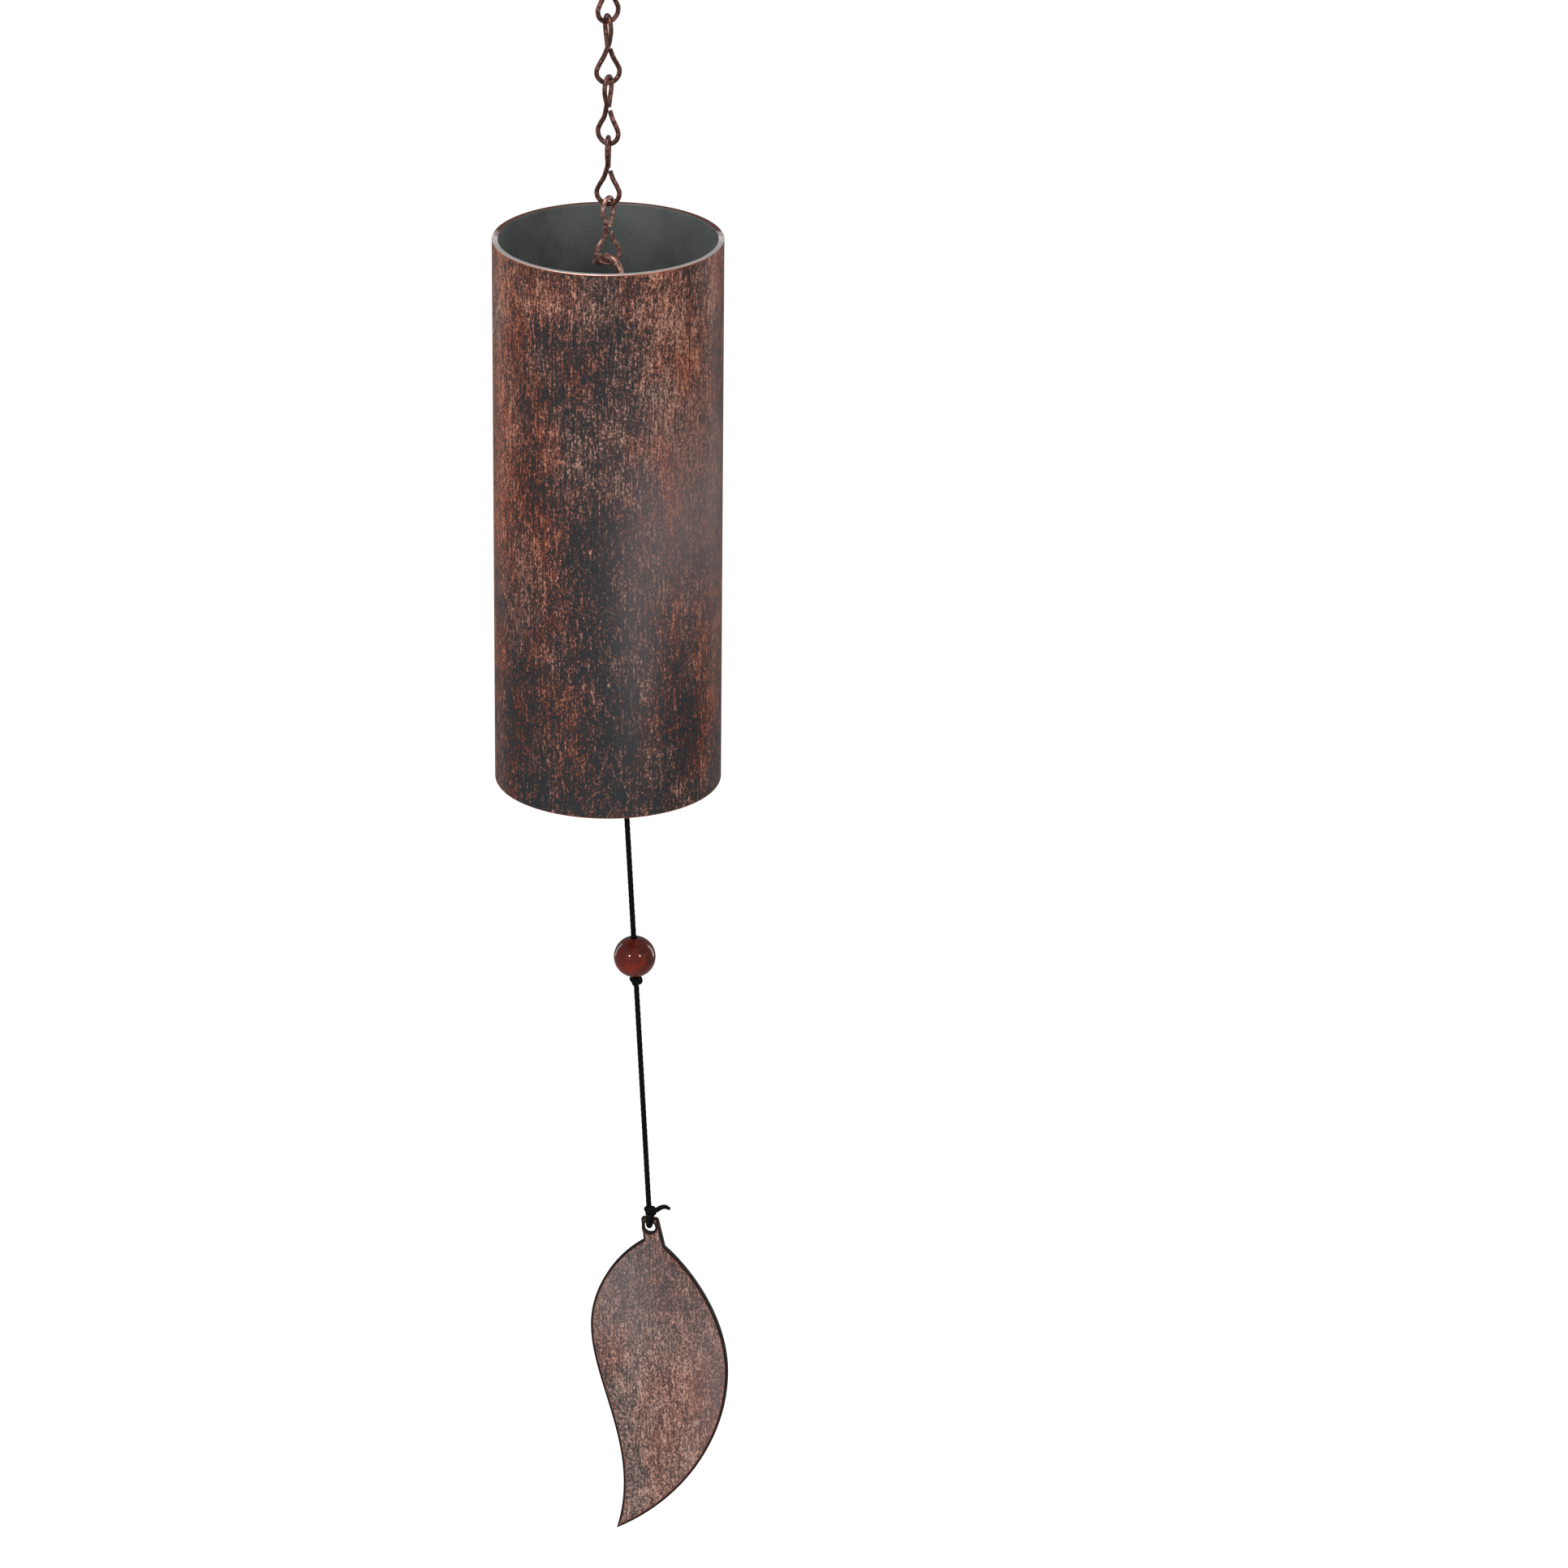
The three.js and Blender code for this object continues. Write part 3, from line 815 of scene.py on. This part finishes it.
class CHIME_OT_tube(bpy.types.Operator):
    """Cuts the tube, rounds its rims and paints a highlight on their front"""

    bl_idname = "chime.tube"
    bl_label = "Tube"

    def execute(self, context):
        s, c = sizes(), colours()
        low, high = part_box("bell_tube")
        outer = (high.x - low.x) / 2
        inner = outer - s.tube_wall
        near = 3 * s.tube_edge
        profile = [
            (inner, high.z, s.tube_edge),
            (outer, high.z, s.tube_edge),
            (outer, high.z - near, 0),
            (outer, low.z + near, 0),
            (outer, low.z, s.tube_edge),
            (inner, low.z, s.tube_edge),
            (inner, low.z + near, 0),
            (inner, high.z - near, 0),
        ]
        bm = spun(profile, 160)
        for face in bm.faces:
            spot = face.calc_center_median()
            radius = math.hypot(spot.x, spot.y)
            end = min(high.z - spot.z, spot.z - low.z)
            if radius < inner + 0.1 * MM:
                face.material_index = 1
            elif end < s.tube_edge:
                face.material_index = 3 if end > 0.35 * s.tube_edge else 2
        materials = [
            antique_copper(
                "antique copper finish",
                (c.charcoal, c.plum, c.dusty, c.pale),
                (c.charcoal, c.umber, c.copper, c.bright),
                cloud=0.46,
                side=0.9,
                # Places with less copper, darker. The three low ones and the long one down the middle are painted
                # shade, darkening the tube towards its bottom and down its middle; the last one adds copper.
                bare_and_shade=(
                    (-0.001, -0.215, 0.012, 0.12, 0.1),
                    (-0.008, -0.155, 0.016, 0.02, 0.05),
                    (-0.030, -0.285, 0.012, 0.03, 0.17),
                    (-0.020, -0.225, 0.012, 0.05, 0.05),
                    (0.032, -0.292, 0.014, 0.04, 0.13),
                    (-0.002, -0.295, 0.014, 0.025, 0.06),
                    (0.012, -0.140, 0.02, 0.03, -0.08),
                ),
                # Two grey places, mid right and low down right of the middle: a painted sheen.
                haze_and_sheen_places=((0.026, -0.210, 0.018, 0.035, 0.6), (0.010, -0.245, 0.008, 0.045, 0.25)),
            ),
            inside_paint(),
            # Bright steel and orange copper on the front of the rims, the copper most at the front left: painted
            # highlight.
            rim_with_painted_highlight("steel rim with painted highlight", c.rim, toward=(0, -60, 0)),
            rim_with_painted_highlight("copper corner with painted highlight", "#c0653c", toward=(-24, -26, 0)),
        ]
        finished("tube_turned", to_mesh(bm, "tube"), materials, "tube", ["bell_tube"])
        return {"FINISHED"}


class CHIME_OT_crossbar(bpy.types.Operator):
    """Welds the round bar across the inside of the tube"""

    bl_idname = "chime.crossbar"
    bl_label = "Crossbar"

    def execute(self, context):
        s = sizes()
        low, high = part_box("crossbar")
        tube_low, tube_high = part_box("bell_tube")
        inner = (tube_high.x - tube_low.x) / 2 - s.tube_wall
        radius = (high.z - low.z) / 2
        along = Vector(JOINTS["tube_swing"]["axis"]).normalized()
        turn = Matrix.Translation(middle("crossbar")) @ along.to_track_quat("Z", "Y").to_matrix().to_4x4()
        bar = bmesh.new()
        bmesh.ops.create_cone(
            bar, cap_ends=True, segments=32, radius1=radius, radius2=radius, depth=2 * inner - 0.4 * MM
        )
        parts = [bar]
        for side in (-1, 1):
            weld = bmesh.new()
            bmesh.ops.create_icosphere(weld, subdivisions=4, radius=radius * 1.55)
            bmesh.ops.scale(weld, vec=(1, 1, 0.5), verts=weld.verts)
            bmesh.ops.translate(weld, vec=(0, 0, side * (inner - 0.5 * radius)), verts=weld.verts)
            for vert in weld.verts:
                ripple = 1 + 0.05 * math.sin(9 * math.atan2(vert.co.y, vert.co.x))
                vert.co.x *= ripple
                vert.co.y *= ripple
            parts.append(weld)
        for part in parts:
            bmesh.ops.transform(part, matrix=turn, verts=part.verts)
        finished("crossbar_welded", joined("crossbar", parts), [inside_paint()], "tube", ["crossbar"])
        return {"FINISHED"}


class CHIME_OT_striker(bpy.types.Operator):
    """Turns the wooden striker that hangs inside the tube"""

    bl_idname = "chime.striker"
    bl_label = "Striker"

    def execute(self, context):
        radius, half, rounding = 19 * MM, 8 * MM, 4 * MM
        bore = sizes().bore / 2
        groove = 0.35 * MM
        profile = [
            (bore, -half, 0.4 * MM),
            (radius, -half, rounding),
            (radius, -0.6 * MM, 0),
            (radius - groove, 0, 0.2 * MM),
            (radius, 0.6 * MM, 0),
            (radius, half, rounding),
            (bore, half, 0.4 * MM),
        ]
        bm = spun(profile, 96)
        bmesh.ops.transform(bm, matrix=on_slant(middle("striker")), verts=bm.verts)
        finished("striker_turned", to_mesh(bm, "striker"), [turned_wood()], "striker", ["striker"])
        return {"FINISHED"}


class CHIME_OT_bead(bpy.types.Operator):
    """Makes the glazed bead that slides on the pull cord"""

    bl_idname = "chime.bead"
    bl_label = "Bead"

    def execute(self, context):
        radius, bore = 7.15 * MM, sizes().bore / 2
        end = math.sqrt(radius**2 - bore**2)
        bm = bmesh.new()
        bmesh.ops.create_uvsphere(bm, u_segments=72, v_segments=48, radius=radius)
        for side in (-1, 1):
            bmesh.ops.bisect_plane(
                bm, geom=bm.verts[:] + bm.edges[:] + bm.faces[:], plane_co=(0, 0, side * end),
                plane_no=(0, 0, side), clear_outer=True,
            )
        bmesh.ops.remove_doubles(bm, verts=bm.verts, dist=2e-5)
        lips = [edge for edge in bm.edges if edge.is_boundary]
        bmesh.ops.bridge_loops(bm, edges=lips)
        bmesh.ops.bevel(
            bm, geom=lips, offset=0.5 * MM, segments=5, profile=0.5, affect="EDGES", material=-1
        )
        bmesh.ops.recalc_face_normals(bm, faces=bm.faces)
        bmesh.ops.transform(bm, matrix=on_slant(middle("bead")), verts=bm.verts)
        finished("bead_glazed", to_mesh(bm, "bead"), [bead_glaze()], "bead", ["bead"])
        return {"FINISHED"}


LEAF_SIZE = (49.2 * MM, 119.3 * MM)
LEAF_TURN = math.radians(-15)


def leaf_spot():
    """Places what was made round the leaf's hole, facing -Y, where the leaf hangs."""
    return Matrix.Translation(place("leaf_twist")) @ Matrix.Rotation(LEAF_TURN, 4, "Z")


class CHIME_OT_leaf_tie(bpy.types.Operator):
    """Ties the cord's loop through the leaf, with its knot and its loose end"""

    bl_idname = "chime.leaf_tie"
    bl_label = "Leaf tie"

    def execute(self, context):
        strand = sizes().cord
        middle_up, radius, knot_up = 2.8 * MM, 2.331 * MM, 5.93 * MM
        loop = []
        for i in range(20):
            angle = 2 * math.pi * i / 20
            pinch = 1 - 0.35 * max(0.0, math.sin(angle)) ** 2
            loop.append(Vector((0, math.cos(angle) * radius * pinch, middle_up + math.sin(angle) * radius)))
        knot = tight_knot(4.8 * MM, 3.4 * MM, 4.0 * MM)
        bmesh.ops.translate(knot, vec=(0, 0, knot_up), verts=knot.verts)
        tail = [Vector((x * MM, y * MM, knot_up + z * MM)) for x, y, z in (
            (0.5, -0.6, 0.2), (2.24, -0.8, 0.9), (4.48, -0.9, 2.4), (5.76, -0.9, 2.7), (7.4, -0.9, 2.0)
        )]
        parts = [
            rod("loop", loop, strand, closed=True),
            knot,
            rod("tail", tail, strand, radii=(1, 1, 0.95, 0.85, 0.6)),
        ]
        for part in parts:
            bmesh.ops.transform(part, matrix=leaf_spot(), verts=part.verts)
        finished("leaf_tie_tied", joined("leaf_tie", parts), [waxed_cord()], "leaf_tie", ["leaf_tie"])
        return {"FINISHED"}


class CHIME_OT_leaf(bpy.types.Operator):
    """Cuts the leaf from sheet and rounds its edge"""

    bl_idname = "chime.leaf"
    bl_label = "Leaf"

    def execute(self, context):
        s, c = sizes(), colours()
        width, length = LEAF_SIZE
        data = bpy.data.curves.new("leaf", "CURVE")
        data.dimensions = "2D"
        data.fill_mode = "BOTH"
        data.resolution_u = 24
        data.extrude = 0.8 * MM - s.leaf_edge
        data.bevel_depth = s.leaf_edge
        data.bevel_resolution = 3
        data.offset = -s.leaf_edge

        def share(across, down):
            return Vector((across * width, -down * length, 0))

        tab_half, tab_top, corner = 3.05 * MM, 3.6 * MM, 0.6 * MM
        left_foot, right_foot = share(-0.043, 0.042), share(0.11, 0.058)
        left_belly, tip, right_belly = share(-0.429, 0.336), share(-0.238, 1), share(0.571, 0.445)
        straight = (
            Vector((-tab_half, tab_top - corner, 0)),
            Vector((corner - tab_half, tab_top, 0)),
            Vector((tab_half - corner, tab_top, 0)),
            Vector((tab_half, tab_top - corner, 0)),
        )
        curved = (
            (right_foot, None, share(0.325, 0.13)),
            (right_belly, share(0.571, 0.277), share(0.571, 0.663)),
            (tip, share(0.252, 0.882), share(-0.053, 0.73)),
            (left_belly, share(-0.429, 0.529), share(-0.429, 0.218)),
            (left_foot, share(-0.252, 0.1), None),
        )
        spline = data.splines.new("BEZIER")
        spline.use_cyclic_u = True
        spline.bezier_points.add(len(straight) + len(curved) - 1)
        for point, at in zip(spline.bezier_points, straight):
            point.co = at
            point.handle_left_type = point.handle_right_type = "VECTOR"
        for point, (at, before, after) in zip(spline.bezier_points[len(straight) :], curved):
            point.co = at
            point.handle_left_type = "FREE" if before else "VECTOR"
            point.handle_right_type = "FREE" if after else "VECTOR"
            if before:
                point.handle_left = before
            if after:
                point.handle_right = after
        hole = data.splines.new("BEZIER")
        hole.use_cyclic_u = True
        hole.bezier_points.add(3)
        for i, point in enumerate(hole.bezier_points):
            angle = -math.pi / 2 * i
            point.co = (math.cos(angle) * s.leaf_hole / 2, math.sin(angle) * s.leaf_hole / 2, 0)
            point.handle_left_type = point.handle_right_type = "AUTO"
        holder = bpy.data.objects.new("leaf", data)
        context.scene.collection.objects.link(holder)
        context.view_layer.update()
        mesh = bpy.data.meshes.new_from_object(holder.evaluated_get(context.evaluated_depsgraph_get()))
        bpy.data.objects.remove(holder)
        bm = bmesh.new()
        bm.from_mesh(mesh)
        bpy.data.meshes.remove(mesh)
        bmesh.ops.remove_doubles(bm, verts=bm.verts, dist=1e-6)
        bmesh.ops.recalc_face_normals(bm, faces=bm.faces)
        for face in bm.faces:
            face.material_index = 0 if abs(face.normal.z) > 0.999 else 1
        # Round each face's edge a dark 0.6 mm band, painted shade along the outline, and inside it a 0.15 mm line
        # of bright copper, a painted highlight where the rounded edge would catch light.
        for side in (-1, 1):
            for width_of_line, finish in ((0.6 * MM, 1), (0.15 * MM, 2)):
                flat = [face for face in bm.faces if side * face.normal.z > 0.999 and face.material_index == 0]
                for face in bmesh.ops.inset_region(
                    bm, faces=flat, thickness=width_of_line, use_boundary=True
                )["faces"]:
                    face.material_index = finish
        flat = [abs(face.normal.z) > 0.999 for face in bm.faces]
        bmesh.ops.transform(
            bm, matrix=leaf_spot() @ Matrix.Rotation(math.pi / 2, 4, "X"), verts=bm.verts
        )
        materials = [
            antique_copper(
                "antique copper leaf",
                (c.leaf_dark, c.leaf_middle, c.leaf_light, c.leaf_bright),
                (c.leaf_dark, c.umber, c.leaf_warm, c.leaf_bright),
                rub=0.6,
                grain=1.4,
                cloud=0.26,
                zone=0.03,
                # Places with less copper, darker; the upper one is painted shade, darkening the leaf towards its
                # top.
                bare_and_shade=((0.018, -0.500, 0.024, 0.016, 0.05), (-0.004, -0.555, 0.012, 0.035, 0.04)),
                haze_and_sheen_places=((0.006, -0.505, 0.016, 0.022, 0.35), (0.040, -0.540, 0.012, 0.04, 0.35)),
            ),
            # The dark cut edge with the painted shade band beside it, then the painted highlight line.
            plain_metal("dark cut edge and painted shade band", "#0f0b0a", 0.55, 0.0),
            plain_metal("painted highlight edge line", c.copper, 0.4, 0.5),
        ]
        made = finished("leaf_cut", to_mesh(bm, "leaf"), materials, "leaf", ["leaf"])
        for face, is_flat in zip(made.data.polygons, flat):
            face.use_smooth = not is_flat
        return {"FINISHED"}


STEPS = (
    CHIME_OT_camera,
    CHIME_OT_cords,
    CHIME_OT_stage,
    CHIME_OT_hooks,
    CHIME_OT_chain,
    CHIME_OT_tube,
    CHIME_OT_crossbar,
    CHIME_OT_hitch,
    CHIME_OT_striker,
    CHIME_OT_bead,
    CHIME_OT_knots,
    CHIME_OT_leaf_tie,
    CHIME_OT_leaf,
)


class CHIME_PT_panel(bpy.types.Panel):
    """Lists the pieces of the wind chime"""

    bl_label = "Wind Chime"
    bl_space_type = "VIEW_3D"
    bl_region_type = "UI"
    bl_category = "Wind Chime"

    def draw(self, context):
        for step in STEPS:
            self.layout.operator(step.bl_idname)


CLASSES = (ChimeSizes, ChimeColours, *STEPS, CHIME_PT_panel)


def register():
    for each in CLASSES:
        bpy.utils.register_class(each)
    bpy.types.Scene.chime_sizes = bpy.props.PointerProperty(type=ChimeSizes)
    bpy.types.Scene.chime_colours = bpy.props.PointerProperty(type=ChimeColours)


def unregister():
    del bpy.types.Scene.chime_sizes
    del bpy.types.Scene.chime_colours
    for each in reversed(CLASSES):
        bpy.utils.unregister_class(each)


def main():
    register()
    for step in STEPS:
        group, name = step.bl_idname.split(".")
        getattr(getattr(bpy.ops, group), name)()


if __name__ == "__main__":
    main()
